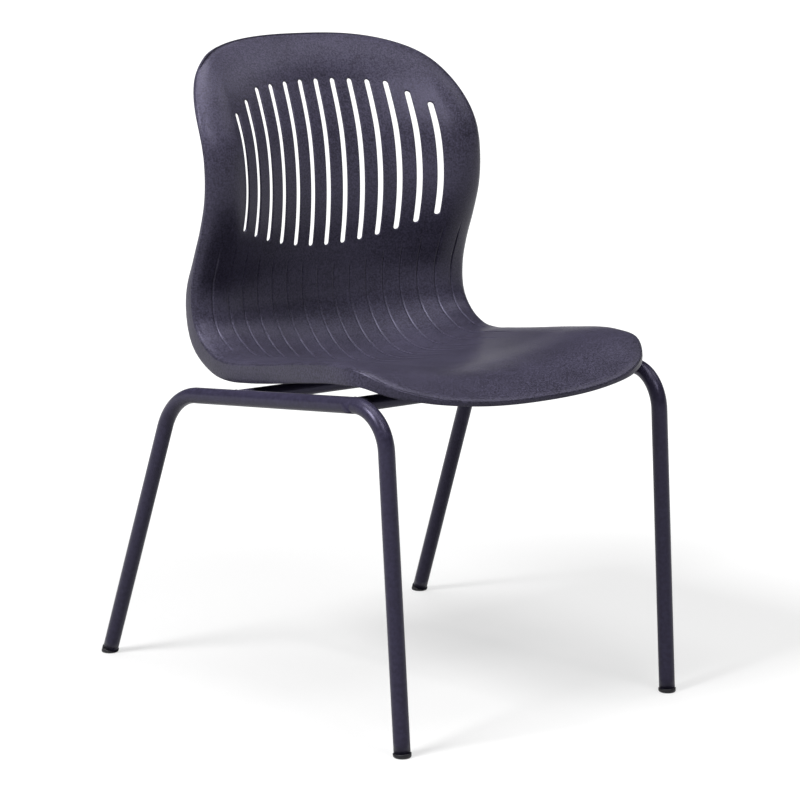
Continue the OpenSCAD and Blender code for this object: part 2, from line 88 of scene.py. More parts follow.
# Frame, fastening and glides
FOOT_DEPTH = 575
FOOT_W_FRONT = 418
FOOT_W_REAR = 517
TUBE_D = 20
TUBE_T = 1.5
RAIL_D = 18
BEND_R_FRONT = 51
BEND_R_REAR = 80
LEAN_FRONT = math.radians(4.3)
RAKE_REAR = math.radians(22)
LIP_SET = 0.5  # how far the seat's front edge lies behind the front feet
RAIL_SET = 85  # from that edge back to the front rail
RAIL_PITCH = 220
BOSS_X = 75  # from the middle out to the bosses
BOSS_D = 14
BOSS_H_FRONT = 12  # gap between the shell's underside and the rail, which a boss fills
BOSS_H_REAR = 12
SCREW_HEAD_D = 10
SCREW_HEAD_H = 3
SEAT_GAP = 0.3  # clearance between curved faces
GLIDE_D = 22
GLIDE_H_FRONT = 5
GLIDE_H_REAR = 6.3

# Section through the middle of the back, from the top edge down into the bend. Each row holds the place in
# the shell's depth, the height over the seat in the back's rise, the dish and the roll of the edge in the
# depth of the dish, and the skirt in its own depth.
BACK_SHARES = [
    [1.000, 1.000, 0.00, 0.46, 0.26],
    [0.966, 0.950, 0.20, 0.46, 0.26],
    [0.940, 0.893, 0.45, 0.44, 0.24],
    [0.924, 0.833, 0.69, 0.42, 0.22],
    [0.903, 0.757, 0.83, 0.36, 0.20],
    [0.885, 0.674, 0.95, 0.38, 0.20],
    [0.874, 0.580, 1.00, 0.42, 0.25],
    [0.870, 0.478, 0.97, 0.44, 0.32],
    [0.874, 0.376, 0.83, 0.42, 0.36],
    [0.884, 0.282, 0.64, 0.34, 0.42],
    [0.889, 0.185, 0.44, 0.22, 0.65],
    [0.884, 0.099, 0.45, 0.23, 0.87],
    [0.861, 0.037, 0.45, 0.22, 1.00],
]
# The same for the seat, from the bend to the front edge, with the depth below the crest in the dip
SEAT_SHARES = [
    [0.818, 0.32, 0.47, 0.23, 1.03],
    [0.763, 0.82, 0.46, 0.21, 0.98],
    [0.696, 0.99, 0.46, 0.19, 0.98],
    [0.615, 0.86, 0.48, 0.21, 1.00],
    [0.534, 0.61, 0.45, 0.20, 1.00],
    [0.379, 0.25, 0.43, 0.15, 1.00],
    [0.217, 0.00, 0.41, 0.12, 0.92],
    [0.132, 0.09, 0.34, 0.07, 0.74],
    [0.075, 0.32, 0.25, 0.07, 0.54],
    [0.034, 0.54, 0.21, 0.07, 0.37],
    [0.010, 0.70, 0.20, 0.07, 0.27],
    [0.000, 0.80, 0.19, 0.07, 0.22],
]

# Sizes of the visual model alone. The visible side falls away towards the rim on an arc, this wide and deep:
# not at all in the middle of the top and front edges, and in full from FALL_X out. The rim's turn goes on
# from it.
FALL_W = 9
FALL_D = 1.8
FALL_X = 160
TURN_D = 2.6
TURN_STEPS = 7
SKIRT_RINGS = (0.25, 0.5, 0.75)  # shares of the skirt with a ring of the mesh
LIP_R = 0.8  # rounding of the skirt's lower edge
LIP_MIDDLE = 0.3  # share of it at its middle ring
EDGE_R = 1.0  # rounding of the slots' edges
RING_OUT = 2.0  # a ring on the flat beside that rounding, out from the slot's wall
RING_SHARES = (0.33, 0.66)  # further rings, on the way from there to the patch's edge
PATCH = 10  # how far a slot's patch of the mesh reaches past its ends
ROWS_HEAD = 16  # rows of the mesh over the slots
ROWS_SLOT = 40  # along them
ROWS_NECK = 14  # from them to the first straight row
ROWS_SEAT = 84  # and from there to the front edge, closer together towards it by the power
SEAT_ROW_POWER = 1.4
STRAIGHT_ROWS = 0.58  # share of the seat's rows that end where the rim is straight
GROOVE_OFFSETS = np.array([0, 0.7, 1.4, 2.1, 3.4, 7.2])  # columns beside each groove, from its line
RIM_OFFSETS = [11, 15, 19, 22, 24.4, 25.8]  # more of them between the outermost groove and the rim
EDGE_ANGLES = np.radians([90, 68, 45, 22, 0])  # angles of the rings round a slot's edge
PROBE = 0.5  # half step for the surface's slopes
LEAST_SLOPE = 1e-6  # keeps a division by the outline's slope from zero
FIND_POINTS = 4001  # places tried along the seat to find one by its depth
AROUND = 64  # points round a tube
RUN_STEPS = 24  # steps along a straight run and along a bend
BEND_STEPS = 28
FLAT = 0.05  # share of the tube that a bend is flattened by, and the power of its course along the bend
FLAT_POWER = 0.5
FLAT_SPREAD = 0.5  # how much wider it is across, as a share of the flattening
BEAD_R = 1.1  # weld beads
BEAD_AROUND = 12
BEAD_IN_RAIL = 0.3  # how far their centre line lies inside the rail and the tube
BEAD_IN_TUBE = 0.4
RIPPLES = 26  # their ripples, and the height of these as a share of the bead
RIPPLE_SHARE = 0.07
GLIDE_EDGE_R = 2.2
GLIDE_ANGLES = np.radians([0, 30, 60, 90])
GLIDE_BEVEL = 0.5
BOSS_SADDLE = (1, 2)  # foot of a boss, in from its side and down round the rail
BOSS_BEVEL = (0.3, 0.4)  # its bevel on the rail, in from its side and up
BOSS_FLARE = (2, 1.5)  # its flare, out from its side and down from the shell
BOSS_ROOT = 1  # how far the flare reaches into the shell
SCREW_RECESS = ((1.6, 1.4), (1.7, 0.1), (2.4, 0))  # radius, and depth from the head's face
SCREW_CROWN = ((1.2, 0.35), (0.3, 1.2), (0, 2.2))  # in from the head's side, and depth from its face
LATHE_STEPS = 48

# The middle section's stations, the lengths between them and the slopes at them
HALF_W = SHELL_W / 2
RISE = OVERALL_H - SEAT_H
FOOT_FRONT_Y = -FOOT_DEPTH / 2
FOOT_REAR_Y = FOOT_DEPTH / 2
LIP_Y = FOOT_FRONT_Y + LIP_SET
back_stations = np.array(BACK_SHARES)
seat_stations = np.array(SEAT_SHARES)
back_stations[:, 1] = SEAT_H + back_stations[:, 1] * RISE
seat_stations[:, 1] = SEAT_H - seat_stations[:, 1] * SEAT_DIP
STATIONS = np.vstack([back_stations, seat_stations])
STATIONS[:, 0] = LIP_Y + STATIONS[:, 0] * SHELL_D
STATIONS[:, 2:4] *= DISH_D
STATIONS[:, 4] *= SKIRT_H
STEPS = np.hypot(*np.diff(STATIONS[:, :2], axis=0).T)
RUNS = np.concatenate([[0], np.cumsum(STEPS)])
LENGTH = RUNS[-1]
SECANTS = np.diff(STATIONS, axis=0) / STEPS[:, None]
WEIGHED = SECANTS[:-1] * STEPS[1:, None] + SECANTS[1:] * STEPS[:-1, None]
INNER_SLOPES = WEIGHED / (STEPS[:-1] + STEPS[1:])[:, None]
FIRST_SLOPE = 1.5 * SECANTS[0] - 0.5 * INNER_SLOPES[0]
LAST_SLOPE = 1.5 * SECANTS[-1] - 0.5 * INNER_SLOPES[-1]
SLOPES = np.vstack([FIRST_SLOPE, INNER_SLOPES, LAST_SLOPE])
SLOT_R = SLOT_W / 2
STRAIGHT_S = STRAIGHT * LENGTH
INNER_EDGE = (SLOTS_SIDE + 0.5) * SLOT_PITCH
OUTER_GROOVE = INNER_EDGE + SLOT_PITCH
FALL_R = (FALL_W**2 + FALL_D**2) / (2 * FALL_D)


# Helpers
def share(n):
    """Shares from 0 to 1 in n equal steps."""
    return np.linspace(0, 1, n + 1)


def mix(a, b, f):
    """Linear mix of a and b."""
    return a + f * (b - a)


def ease(a):
    """Smooth step from 0 to 1: three times the square less twice the cube."""
    b = np.clip(a, 0, 1)
    return b * b * (3 - 2 * b)


def unit(v):
    """Vectors of length one."""
    return v / np.linalg.norm(v, axis=-1, keepdims=True)


def quads(a, b, c, d):
    """Quads from four arrays of indices of one shape."""
    return np.stack([a, b, c, d], axis=-1).reshape(-1, 4)


# The shell's surface, by x across and by length s down the middle section from the top edge
def station_at(s):
    """Middle section at length s: a cubic through the stations' values and slopes."""
    i = np.clip(np.searchsorted(RUNS[1:], s), 0, len(STEPS) - 1)
    h = STEPS[i][..., None]
    t = (s - RUNS[i])[..., None] / h
    return (
        (2 * t**3 - 3 * t**2 + 1) * STATIONS[i]
        + (t**3 - 2 * t**2 + t) * h * SLOPES[i]
        + (3 * t**2 - 2 * t**3) * STATIONS[i + 1]
        + (t**3 - t**2) * h * SLOPES[i + 1]
    )


def surface(x, s):
    """Seating surface: the middle section at s, moved by the dish times the square of v less the roll times
    the square of v's rest past ROLL_FROM, with v the share of the half width. The move turns from forward on
    the back to up on the seat."""
    y, z, dish, roll, _ = np.moveaxis(station_at(s), -1, 0)
    v = np.abs(x) / HALF_W
    rest = np.maximum(0, (v - ROLL_FROM) / (1 - ROLL_FROM))
    move = dish * v**2 - roll * rest**2
    centre_y, centre_z = LIP_Y + BEND_CENTRE[0] * SHELL_D, SEAT_H + BEND_CENTRE[1] * RISE
    seen = np.degrees(np.arctan2(centre_z - z, y - centre_y))
    a = np.pi / 2 * ease((seen - TURN_FROM) / (TURN_TO - TURN_FROM))
    return np.stack([x, y - move * np.cos(a), z + move * np.sin(a)], axis=-1)


def along_x(x, s):
    """Direction across the surface, from a central difference."""
    return unit(surface(x + PROBE, s) - surface(x - PROBE, s))


def along_s(x, s):
    """Direction down the surface, from a central difference."""
    return unit(surface(x, s + PROBE) - surface(x, s - PROBE))


def normal(x, s):
    """Normal on the sitter's side: down the surface crossed with across it."""
    return unit(np.cross(along_s(x, s), along_x(x, s)))


def corner_s(x, length, power):
    """Fall of a corner at x: its length times 1 less the root of 1 less the power of the share across."""
    return length * (1 - (1 - np.minimum(1, np.abs(x) / HALF_W) ** power) ** (1 / power))


def corner_point(a, length, power):
    """Place across and fall of a corner's point at angle a: the half width times a power of the cosine, and
    the corner's length times 1 less a power of the sine. The angle is 0 where the shell is widest."""
    return HALF_W * np.cos(a) ** (2 / power), length * (1 - np.sin(a) ** (2 / power))


def top_s(x):
    """Length at which the shell starts at x."""
    return corner_s(x, CORNER_BACK, POWER_BACK)


def front_s(x):
    """Length at which the shell ends at x."""
    return LENGTH - corner_s(x, CORNER_FRONT, POWER_FRONT)


def slot_top_s(x):
    """Top ends of the slots: they sag with the square of x, then step down."""
    i = np.abs(x) / SLOT_PITCH
    return SLOT_TOP + SLOT_TOP_SAG * (i / SAG_SLOT) ** 2 + SLOT_TOP_STEP * np.maximum(0, i - SAG_SLOT)


def slot_bottom_s(x):
    """Bottom ends of the slots: they rise with the square of x."""
    return SLOT_TOP + SLOT_LEN - SLOT_BOTTOM_SAG * (x / (SLOTS_SIDE * SLOT_PITCH)) ** 2


def rim_distance(x, s):
    """Distance in from the rim: what the sum of a corner's powers lacks to 1, over the slope of that sum."""
    u = np.abs(x) / HALF_W
    found = []
    for rest, length, power in (
        (CORNER_BACK - s, CORNER_BACK, POWER_BACK),
        (s - LENGTH + CORNER_FRONT, CORNER_FRONT, POWER_FRONT),
    ):
        v = np.maximum(0, rest) / length
        slope = power * np.hypot(u ** (power - 1) / HALF_W, v ** (power - 1) / length)
        found.append((1 - u**power - v**power) / np.maximum(slope, LEAST_SLOPE))
    return np.minimum(*found)


def side_share(x):
    """Share of the fall at x: none in the middle of the top and front edges, all of it from FALL_X out."""
    return ease(np.abs(x) / FALL_X)


def rim_fall(x, s):
    """Fall of the visible side near the rim: a circular arc of depth FALL_D over the last FALL_W."""
    t = np.clip(1 - rim_distance(x, s) / FALL_W, 0, 1)
    return side_share(x) * (FALL_R - np.sqrt(FALL_R**2 - (t * FALL_W) ** 2))


def skirt_of(s):
    """Depth of the skirt at length s."""
    return np.maximum(station_at(s)[..., 4], SHELL_T + RIM_LIP)


def groove_at(x, s):
    """Depth of the grooves: a raised cosine across each line, faded in below the slots, out on the seat."""
    line = np.minimum(np.round(np.abs(x) / SLOT_PITCH - 0.5) + 0.5, SLOTS_SIDE + 1.5)
    off = np.abs(np.abs(x) - line * SLOT_PITCH)
    across = 0.5 + 0.5 * np.cos(np.pi * np.minimum(1, off / GROOVE_HALF))
    start = slot_bottom_s(np.minimum(line * SLOT_PITCH, INNER_EDGE)) + GROOVE_START
    end = np.where(line > SLOTS_SIDE + 1, OUTER_END, GROOVE_END) * LENGTH
    return GROOVE_D * across * ease((s - start) / GROOVE_START) * np.clip((end - s) / FADE, 0, 1)


# The shell's grid: columns beside every groove, and rows in four zones that follow the slots' ends
in_pitch = np.concatenate([GROOVE_OFFSETS, [SLOT_PITCH / 2], SLOT_PITCH - GROOVE_OFFSETS[:0:-1]])
PER_PITCH = len(in_pitch)
slot_i = np.arange(-SLOTS_SIDE, SLOTS_SIDE + 1)
inner_x = np.append((slot_i[:, None] - 0.5) * SLOT_PITCH + in_pitch, INNER_EDGE)
past_groove = np.concatenate([GROOVE_OFFSETS[1:], RIM_OFFSETS, [HALF_W - OUTER_GROOVE]])
outer_x = np.concatenate([INNER_EDGE + in_pitch[1:], [OUTER_GROOVE], OUTER_GROOVE + past_groove])
outer_f = (outer_x - INNER_EDGE) / (HALF_W - INNER_EDGE)
N_OUT = len(outer_f)
HEAD, SLOTS, NECK, SEAT = range(4)
zone = np.repeat([HEAD, SLOTS, NECK, SEAT], [ROWS_HEAD, ROWS_SLOT, ROWS_NECK, ROWS_SEAT + 1])
seat_part = 1 - share(ROWS_SEAT)[::-1] ** SEAT_ROW_POWER
part = np.concatenate([share(ROWS_HEAD)[:-1], share(ROWS_SLOT)[:-1], share(ROWS_NECK)[:-1], seat_part])
N_ROW = len(zone)


def row_s(z, f, x):
    """Length of the row at share f of zone z, at x across."""
    marks = [top_s(x), slot_top_s(x) - PATCH, slot_bottom_s(x) + PATCH, STRAIGHT_S + 0 * x, front_s(x)]
    return mix(np.choose(z, marks[:4]), np.choose(z, marks[1:]), f)


edge_s = row_s(zone, part, np.full(N_ROW, INNER_EDGE))


def rim_points():
    """Rim's own point of each row: by angle round the corners at the two ends, and straight down between."""
    x, s = np.full(N_ROW, HALF_W), edge_s.copy()
    back_x, back_fall = corner_point(np.radians(CORNER_ANGLE) * (1 - part), CORNER_BACK, POWER_BACK)
    x = np.where(zone == HEAD, back_x, x)
    s = np.where(zone == HEAD, back_fall, s)
    top, low = edge_s[zone == SLOTS][0], slot_bottom_s(INNER_EDGE) + PATCH
    s = np.where(zone == SLOTS, mix(CORNER_BACK, low, (edge_s - top) / (low - top)), s)
    straight = mix(STRAIGHT_S, LENGTH - CORNER_FRONT, np.minimum(1, part / STRAIGHT_ROWS))
    s = np.where(zone == SEAT, straight, s)
    a = np.radians(CORNER_ANGLE) * np.maximum(0, (part - STRAIGHT_ROWS) / (1 - STRAIGHT_ROWS))
    front_x, front_fall = corner_point(a, CORNER_FRONT, POWER_FRONT)
    x = np.where(zone == SEAT, front_x, x)
    s = np.where((zone == SEAT) & (part > STRAIGHT_ROWS), LENGTH - front_fall, s)
    return x, s


rim_x, rim_s = rim_points()
out_x = mix(INNER_EDGE, rim_x[:, None], outer_f)
out_s = mix(edge_s[:, None], rim_s[:, None], outer_f)
out_s[0], out_s[-1] = top_s(out_x[0]), front_s(out_x[-1])
in_x = np.broadcast_to(inner_x, (N_ROW, len(inner_x)))
in_s = row_s(zone[:, None], part[:, None], in_x)
grid_x = np.hstack([-out_x[:, ::-1], in_x, out_x])
grid_s = np.hstack([out_s[:, ::-1], in_s, out_s])
N_COL = grid_x.shape[1]
grid_id = np.arange(N_ROW * N_COL).reshape(N_ROW, N_COL)

# The loop of the grid round each slot, from its top left corner
r_from = ROWS_HEAD
r_to = ROWS_HEAD + ROWS_SLOT
c_from = N_OUT + PER_PITCH * (slot_i + SLOTS_SIDE)
c_to = c_from + PER_PITCH
side_by = np.arange(ROWS_SLOT)
end_by = np.arange(PER_PITCH)
loop_id = np.concatenate(
    [
        grid_id[r_from, c_from[:, None] + end_by],
        grid_id[r_from + side_by[None, :], c_to[:, None]],
        grid_id[r_to, c_to[:, None] - end_by],
        grid_id[r_to - side_by[None, :], c_from[:, None]],
    ],
    axis=1,
)

# The slot's wall, point by point as in the loop: a half circle at each end and straight sides
end_turn = np.pi * end_by / PER_PITCH
side_part = side_by / ROWS_SLOT
ones, zeros = np.ones(ROWS_SLOT), np.zeros(ROWS_SLOT)
wall_a = np.concatenate([-np.cos(end_turn), ones, np.cos(end_turn), -ones])
wall_b = np.concatenate([-np.sin(end_turn), zeros, np.sin(end_turn), zeros])
wall_part = np.concatenate([0 * end_turn, side_part, 0 * end_turn + 1, 1 - side_part])
slot_x = slot_i * SLOT_PITCH
slot_tops = slot_top_s(slot_x) + SLOT_R
slot_bottoms = slot_bottom_s(slot_x) - SLOT_R
wall_x = slot_x[:, None] + SLOT_R * wall_a
wall_s = mix(slot_tops[:, None], slot_bottoms[:, None], wall_part) + SLOT_R * wall_b

# Rings of each patch, from the wall out to the loop: first round the edge, then over the flat
ring_off = np.append(EDGE_R * (1 - np.sin(EDGE_ANGLES)), RING_OUT)
ring_x = [wall_x + off * wall_a for off in ring_off]
ring_s = [wall_s + off * wall_b for off in ring_off]
last_x, last_s = ring_x[-1], ring_s[-1]
ring_x += [mix(last_x, grid_x.ravel()[loop_id], f) for f in RING_SHARES]
ring_s += [mix(last_s, grid_s.ravel()[loop_id], f) for f in RING_SHARES]
ring_x, ring_s = np.array(ring_x), np.array(ring_s)
N_RING, N_SLOT, N_LOOP = ring_x.shape
ring_drop = np.zeros(N_RING)
ring_drop[: len(EDGE_ANGLES)] = EDGE_R * (1 - np.cos(EDGE_ANGLES))
ring_id = grid_id.size + np.arange(ring_x.size).reshape(ring_x.shape)

sheet_x = np.concatenate([grid_x.ravel(), ring_x.ravel()])
sheet_s = np.concatenate([grid_s.ravel(), ring_s.ravel()])
sheet_drop = np.concatenate([np.zeros(grid_id.size), np.repeat(ring_drop, N_SLOT * N_LOOP)])
N_SHEET = len(sheet_x)

cells = np.ones((N_ROW - 1, N_COL - 1), bool)
cells[r_from:r_to, N_OUT : N_COL - 1 - N_OUT] = False
grid_faces = quads(grid_id[:-1, :-1], grid_id[1:, :-1], grid_id[1:, 1:], grid_id[:-1, 1:])[cells.ravel()]
levels = np.concatenate([ring_id, loop_id[None]])
next_levels = np.roll(levels, -1, axis=2)
patch_faces = quads(levels[:-1], next_levels[:-1], next_levels[1:], levels[1:])
sheet_faces = np.vstack([grid_faces, patch_faces])
wall_next = np.roll(ring_id[0], -1, 1)
wall_faces = quads(ring_id[0], ring_id[0] + N_SHEET, wall_next + N_SHEET, wall_next)

# The rim: its loop of points, the way out from each, and how deep the fall and the turn end at each
rim_id = np.concatenate([grid_id[0, :-1], grid_id[:-1, -1], grid_id[-1, :0:-1], grid_id[:0:-1, 0]])
N_RIM = len(rim_id)
loop_x, loop_s = sheet_x[rim_id], sheet_s[rim_id]
loop_dx = np.roll(loop_x, -1) - np.roll(loop_x, 1)
loop_ds = np.roll(loop_s, -1) - np.roll(loop_s, 1)
way = unit(np.stack([loop_dx, loop_ds], axis=-1))
outward = unit(way[:, 1:] * along_x(loop_x, loop_s) - way[:, :1] * along_s(loop_x, loop_s))
down = -normal(loop_x, loop_s)
rim_line = surface(loop_x, loop_s)
skirt_to = skirt_of(loop_s)
rim_share = side_share(loop_x)
fall_to = FALL_D * rim_share
turn_to = mix(RIM_ROUND, FALL_D + TURN_D, rim_share)


def rim_profile():
    """Rings down the rim and back up inside the skirt, as distance out, depth and share of the skirt.

    With share 0 the depth is a share of the turn, which is a quarter ellipse less its first stretch, so that
    it starts at the slope at which the fall's arc ends. With any other share it is a length past that share
    of the skirt."""
    steep = FALL_W / (FALL_R - FALL_D) * RIM_OUT / TURN_D
    sine = steep / (1 - steep)
    begin = math.asin(sine)
    rows = []
    for a in np.linspace(begin, math.pi / 2, TURN_STEPS)[1:]:
        rows.append((RIM_OUT * (math.sin(a) - sine) / (1 - sine), 1 - math.cos(a) / math.cos(begin), 0))
    rows += [(RIM_OUT, -LIP_R * f, f) for f in SKIRT_RINGS]
    rows += [(RIM_OUT, -LIP_R, 1), (RIM_OUT - LIP_MIDDLE * LIP_R, -LIP_MIDDLE * LIP_R, 1)]
    rows += [(RIM_OUT - LIP_R, 0, 1), (RIM_OUT - SKIRT_T + LIP_R, 0, 1), (RIM_OUT - SKIRT_T, -LIP_R, 1)]
    return rows


def rim_ring(out, deep, f):
    """One ring of the rim's profile, all round: the rim's line moved outward and down."""
    deep = np.where(f > 0, mix(turn_to, skirt_to, f) + deep, mix(fall_to, turn_to, deep))
    spread = out + SKIRT_DRAFT * deep / SKIRT_H * (f > 0)
    return rim_line + outward * spread[:, None] + down * deep[:, None]


profile = rim_profile()
N_PROFILE = len(profile)
rim_ring_points = np.vstack([rim_ring(*row) for row in profile])

# The upper sheet, the lower sheet, drawn in inside the skirt, and all faces of the closed shell
fallen = groove_at(sheet_x, sheet_s) + rim_fall(sheet_x, sheet_s) + sheet_drop
upper = surface(sheet_x, sheet_s) - fallen[:, None] * normal(sheet_x, sheet_s)
INSET = SKIRT_T - RIM_OUT
inset_x = INSET * ease((np.abs(sheet_x) - INNER_EDGE) / (HALF_W - INNER_EDGE))
inset_top = INSET * (1 - ease(sheet_s / (SLOT_TOP - PATCH)))
inset_front = INSET * ease((sheet_s - LENGTH + CORNER_FRONT) / CORNER_FRONT)
low_x = sheet_x - np.sign(sheet_x) * inset_x
low_s = sheet_s + inset_top - inset_front
lower = surface(low_x, low_s) - (SHELL_T - sheet_drop)[:, None] * normal(low_x, low_s)
ring_rows = 2 * N_SHEET + np.arange(N_PROFILE * N_RIM).reshape(N_PROFILE, N_RIM)
rim_rows = np.vstack([rim_id[None], ring_rows, rim_id[None] + N_SHEET])
next_rows = np.roll(rim_rows, -1, axis=1)
rim_faces = quads(rim_rows[:-1], next_rows[:-1], next_rows[1:], rim_rows[1:])[:, ::-1]
shell_points = np.vstack([upper, lower, rim_ring_points])
shell_faces = np.vstack([sheet_faces, sheet_faces[:, ::-1] + N_SHEET, wall_faces, rim_faces])


# Meshes in Blender
def mesh_object(name, points, polygons, material):
    """Smooth mesh object at the origin, from points in millimetres and a list of polygons."""
    mesh = bpy.data.meshes.new(name)
    mesh.from_pydata(np.asarray(points, float) * 0.001, [], polygons)
    mesh.polygons.foreach_set("use_smooth", np.ones(len(mesh.polygons), bool))
    mesh.materials.append(material)
    mesh.update()
    made = bpy.data.objects.new(name, mesh)
    bpy.context.scene.collection.objects.link(made)
    return made


def piece(name, points, polygons, material, nodes=()):
    """Piece of the chair, riding on its one body, that stands in for the CAD nodes named."""
    made = mesh_object(name, points, polygons, material)
    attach(made, "root")
    if nodes:
        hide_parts(*nodes)


# Materials
def linear(code):
    """Linear colour from an sRGB hex value."""
    c = np.array([int(code[i : i + 2], 16) for i in (1, 3, 5)]) / 255
    return (*np.where(c <= 0.04045, c / 12.92, ((c + 0.055) / 1.055) ** 2.4).tolist(), 1.0)


def node(tree, kind, settings=None, values=None, links=None):
    """Adds a node with settings, values of its sockets, and links into its sockets."""
    made = tree.nodes.new(kind)
    for key, value in (settings or {}).items():
        setattr(made, key, value)
    for key, value in (values or {}).items():
        made.inputs[key].default_value = value
    for key, source in (links or {}).items():
        tree.links.new(source, made.inputs[key])
    return made


def empty_tree(owner):
    """Node tree of a material or a world, with nothing in it."""
    owner.use_nodes = True
    owner.node_tree.nodes.clear()
    return owner.node_tree


DRIFT = 60  # size of the slow drift between the two tones
DRIFT_SHARE = 0.3
GRAIN_DETAIL, DRIFT_DETAIL = 2.0, 3.0
TONE_FROM, TONE_TO = 0.48, 0.82  # noise values at the two tones
GLOSS_FROM, GLOSS_TO = 0.3, 0.7  # noise values at the two ends of the roughness


def finish(name, colour, shade, rough, grain, depth, metal=0.0, specular=0.5, tint="#ffffff"):
    """A finish: a grain of two tones over a slow drift, roughness between two values, and a grained bump.

    grain holds the sizes in millimetres of the fine and the coarse grain, and depth their heights."""
    made = bpy.data.materials.new(name)
    tree = empty_tree(made)
    place = node(tree, "ShaderNodeTexCoord").outputs["Object"]
    fine, broad, slow = (
        node(
            tree,
            "ShaderNodeTexNoise",
            values={"Scale": 1000 / size, "Detail": detail},
            links={"Vector": place},
        ).outputs["Fac"]
        for size, detail in ((grain[0], GRAIN_DETAIL), (grain[1], GRAIN_DETAIL), (DRIFT, DRIFT_DETAIL))
    )
    both = node(
        tree,
        "ShaderNodeMath",
        {"operation": "MULTIPLY_ADD"},
        {1: DRIFT_SHARE},
        {0: slow, 2: broad},
    )
    speckle = node(
        tree,
        "ShaderNodeMapRange",
        values={"From Min": TONE_FROM, "From Max": TONE_TO},
        links={"Value": both.outputs[0]},
    )
    tone = node(
        tree,
        "ShaderNodeMix",
        {"data_type": "RGBA"},
        {"A": linear(shade), "B": linear(colour)},
        {"Factor": speckle.outputs["Result"]},
    )
    gloss = node(
        tree,
        "ShaderNodeMapRange",
        values={"From Min": GLOSS_FROM, "From Max": GLOSS_TO, "To Min": rough[0], "To Max": rough[1]},
        links={"Value": broad},
    )
    coarse_bump = node(
        tree,
        "ShaderNodeBump",
        values={"Strength": 1.0, "Distance": depth[1] * 0.001},
        links={"Height": broad},
    )
    bump = node(
        tree,
        "ShaderNodeBump",
        values={"Strength": 1.0, "Distance": depth[0] * 0.001},
        links={"Height": fine, "Normal": coarse_bump.outputs["Normal"]},
    )
    shader = node(
        tree,
        "ShaderNodeBsdfPrincipled",
        values={"Metallic": metal, "Specular IOR Level": specular, "Specular Tint": linear(tint)},
        links={
            "Base Color": tone.outputs["Result"],
            "Roughness": gloss.outputs["Result"],
            "Normal": bump.outputs["Normal"],
        },
    )
    node(tree, "ShaderNodeOutputMaterial", links={"Surface": shader.outputs["BSDF"]})
    return made


# Polypropylene moulded in a spark-eroded tool: a dull violet-charcoal with a fine, even grain. It is drawn
# coarser than the real one, which would be too fine to show.
plastic = finish(
    "moulded_polypropylene",
    colour="#474456",
    shade="#2b2934",
    rough=(0.29, 0.42),
    grain=(1.2, 2.3),
    depth=(0.10, 0.22),
    specular=0.36,
    tint="#e2ddff",
)
# Steel tube with an epoxy powder coat: smoother than the plastic, with a faint orange peel
paint = finish(
    "powder_coated_steel",
    colour="#383549",
    shade="#2f2c3d",
    rough=(0.285, 0.34),
    grain=(1.6, 5.0),
    depth=(0.002, 0.012),
    specular=0.35,
    tint="#e0daff",
)
# Injection-moulded nylon of the glides: near black and dull, with its grain drawn coarser too
nylon = finish(
    "moulded_nylon",
    colour="#1f1d24",
    shade="#1b1a20",
    rough=(0.45, 0.55),
    grain=(0.8, 2.0),
    depth=(0.02, 0.03),
)
# Zinc-plated steel of the screws: a pale metal with a soft gloss
zinc = finish(
    "zinc_plated_steel",
    colour="#a9a9ad",
    shade="#97979c",
    rough=(0.28, 0.40),
    grain=(0.5, 3.0),
    depth=(0.005, 0.01),
    metal=1.0,
)

piece("seat_shell_moulding", shell_points, shell_faces.tolist(), plastic, ["seat_shell"])


# The frame's lines. A side frame lies in a plane of its own, by u back, v up and w out of it.
def find_s(y):
    """Length along the seat at which its middle section reaches y."""
    s = np.linspace(STRAIGHT_S, LENGTH, FIND_POINTS)
    return np.interp(-y, -station_at(s)[:, 0], s)


def seat_z(y):
    """Height of the seating surface over a boss."""
    return surface(np.array(float(BOSS_X)), find_s(y))[2]


SIDES = (("left", 1), ("right", -1))
TUBE_R = TUBE_D / 2
RAIL_R = RAIL_D / 2
RAIL_Y = np.array([LIP_Y + RAIL_SET, LIP_Y + RAIL_SET + RAIL_PITCH])
RAIL_Z = np.array([seat_z(RAIL_Y[0]) - BOSS_H_FRONT, seat_z(RAIL_Y[1]) - BOSS_H_REAR]) - SHELL_T - RAIL_R
RAILS = (("front", RAIL_Y[0], RAIL_Z[0], BOSS_H_FRONT), ("rear", RAIL_Y[1], RAIL_Z[1], BOSS_H_REAR))
SIDE_X = (FOOT_W_FRONT + FOOT_W_REAR) / 4
TOE = math.atan((FOOT_W_REAR - FOOT_W_FRONT) / 2 / FOOT_DEPTH)
RAIL_ANGLE = math.atan((RAIL_Z[1] - RAIL_Z[0]) / (RAIL_Y[1] - RAIL_Y[0]) * math.cos(TOE))
foot_front = np.array([FOOT_FRONT_Y / math.cos(TOE), 0])
foot_rear = np.array([FOOT_REAR_Y / math.cos(TOE), 0])
up_front = np.array([math.sin(LEAN_FRONT), math.cos(LEAN_FRONT)])
up_rear = np.array([-math.sin(RAKE_REAR), math.cos(RAKE_REAR)])
along_rail = np.array([math.cos(RAIL_ANGLE), math.sin(RAIL_ANGLE)])
on_rail = np.array([RAIL_Y[0] / math.cos(TOE), RAIL_Z[0]])


def cross_2d(a, b):
    """Cross product of two vectors in the plane."""
    return a[0] * b[1] - a[1] * b[0]


def knee(foot, up):
    """Point at which a leg's line meets the line of the side tube's top run."""
    return foot + up * cross_2d(on_rail - foot, along_rail) / cross_2d(up, along_rail)


knee_front = knee(foot_front, up_front)
knee_rear = knee(foot_rear, up_rear)
end_front = foot_front + up_front * GLIDE_H_FRONT / math.cos(LEAN_FRONT)
end_rear = foot_rear + up_rear * GLIDE_H_REAR / math.cos(RAKE_REAR)


